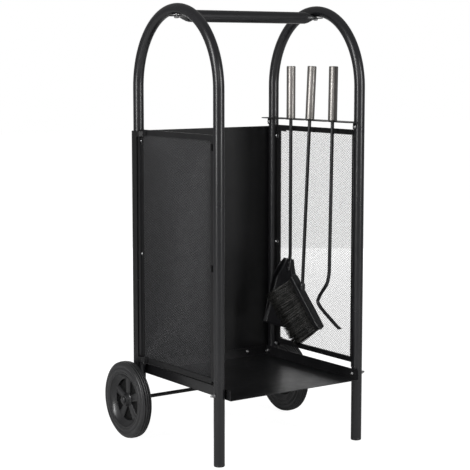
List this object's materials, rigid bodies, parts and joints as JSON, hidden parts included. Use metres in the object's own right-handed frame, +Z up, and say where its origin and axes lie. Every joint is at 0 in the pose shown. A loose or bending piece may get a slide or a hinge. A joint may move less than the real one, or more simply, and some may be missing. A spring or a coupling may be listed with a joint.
{
  "type": "firewood log rack",
  "caption": "Upright firewood rack on two wheels, with a back panel, mesh sides, a log tray, a push handle and hanging hearth tools.",
  "frame": {"origin": "on the floor under the middle of the rack's outline", "axes": "+X to the rack's right, the side with the tools; +Y to its back, the wheel side; +Z up"},
  "size_m": [0.49, 0.4364, 0.9996],
  "materials": {
    "black_powder_coat": "satin powder coat",
    "zinc_steel": "bright zinc plating",
    "brushed_stainless": "brushed",
    "black_plastic": "satin",
    "black_rubber": "matt",
    "bristle_fibre": "fibres"
  },
  "bodies": {
    "cart": {"axle": "zinc_steel", "axle_push_cap_left": "black_plastic", "axle_push_cap_right": "black_plastic", "axle_spacer_left": "black_plastic", "axle_spacer_right": "black_plastic", "back_panel": "black_powder_coat", "front_leg_screw_left_high": "zinc_steel", "front_leg_screw_left_low": "zinc_steel", "front_leg_screw_right_high": "zinc_steel", "front_leg_screw_right_low": "zinc_steel", "handle_bar": "black_powder_coat", "handle_bolt_left": "zinc_steel", "handle_bolt_right": "zinc_steel", "handle_rivet_nut_left": "zinc_steel", "handle_rivet_nut_right": "zinc_steel", "leg_cap_front_left": "black_plastic", "leg_cap_front_right": "black_plastic", "leg_cap_rear_left": "black_plastic", "leg_cap_rear_right": "black_plastic", "mesh_frame_left": "black_powder_coat", "mesh_frame_right": "black_powder_coat", "mesh_left": "black_powder_coat", "mesh_right": "black_powder_coat", "rear_leg_bolt_left_high": "zinc_steel", "rear_leg_bolt_left_low": "zinc_steel", "rear_leg_bolt_left_middle": "zinc_steel", "rear_leg_bolt_right_high": "zinc_steel", "rear_leg_bolt_right_low": "zinc_steel", "rear_leg_bolt_right_middle": "zinc_steel", "side_frame_left": "black_powder_coat", "side_frame_right": "black_powder_coat", "tool_holder": "black_powder_coat", "tool_holder_screw_front": "zinc_steel", "tool_holder_screw_rear": "zinc_steel", "tray": "black_powder_coat", "tray_back_bolt_left": "zinc_steel", "tray_back_bolt_right": "zinc_steel", "tray_bolt_left_front": "zinc_steel", "tray_bolt_left_rear": "zinc_steel", "tray_bolt_right_front": "zinc_steel", "tray_bolt_right_rear": "zinc_steel"},
    "wheel_left": {"wheel_hub_left": "black_plastic", "tyre_left": "black_rubber"},
    "wheel_right": {"wheel_hub_right": "black_plastic", "tyre_right": "black_rubber"},
    "shovel": {"shovel_handle": "brushed_stainless", "shovel_plug": "zinc_steel", "shovel_rod": "black_powder_coat", "shovel_pan": "black_powder_coat", "shovel_rivet_upper": "black_powder_coat", "shovel_rivet_lower": "black_powder_coat"},
    "brush": {"brush_handle": "brushed_stainless", "brush_plug": "zinc_steel", "brush_rod": "black_powder_coat", "brush_block": "black_plastic", "brush_bristles": "bristle_fibre"},
    "poker": {"poker_handle": "brushed_stainless", "poker_plug": "zinc_steel", "poker_rod": "black_powder_coat"}
  },
  "joints": [
    {"name": "wheel_left_spin", "type": "hinge", "parent": "cart", "child": "wheel_left", "pos_m": [-0.228, 0.12815, 0.09], "axis": [1, 0, 0], "continuous": true},
    {"name": "wheel_right_spin", "type": "hinge", "parent": "cart", "child": "wheel_right", "pos_m": [0.228, 0.12815, 0.09], "axis": [1, 0, 0], "continuous": true},
    {"name": "shovel_unhook", "type": "slide", "parent": "cart", "child": "shovel", "axis": [-1, 0, 0], "range_m": [0, 0.1]},
    {"name": "brush_unhook", "type": "slide", "parent": "shovel", "child": "brush", "axis": [-1, 0, 0], "range_m": [0, 0.1]},
    {"name": "poker_unhook", "type": "slide", "parent": "cart", "child": "poker", "axis": [-1, 0, 0], "range_m": [0, 0.1]}
  ]
}
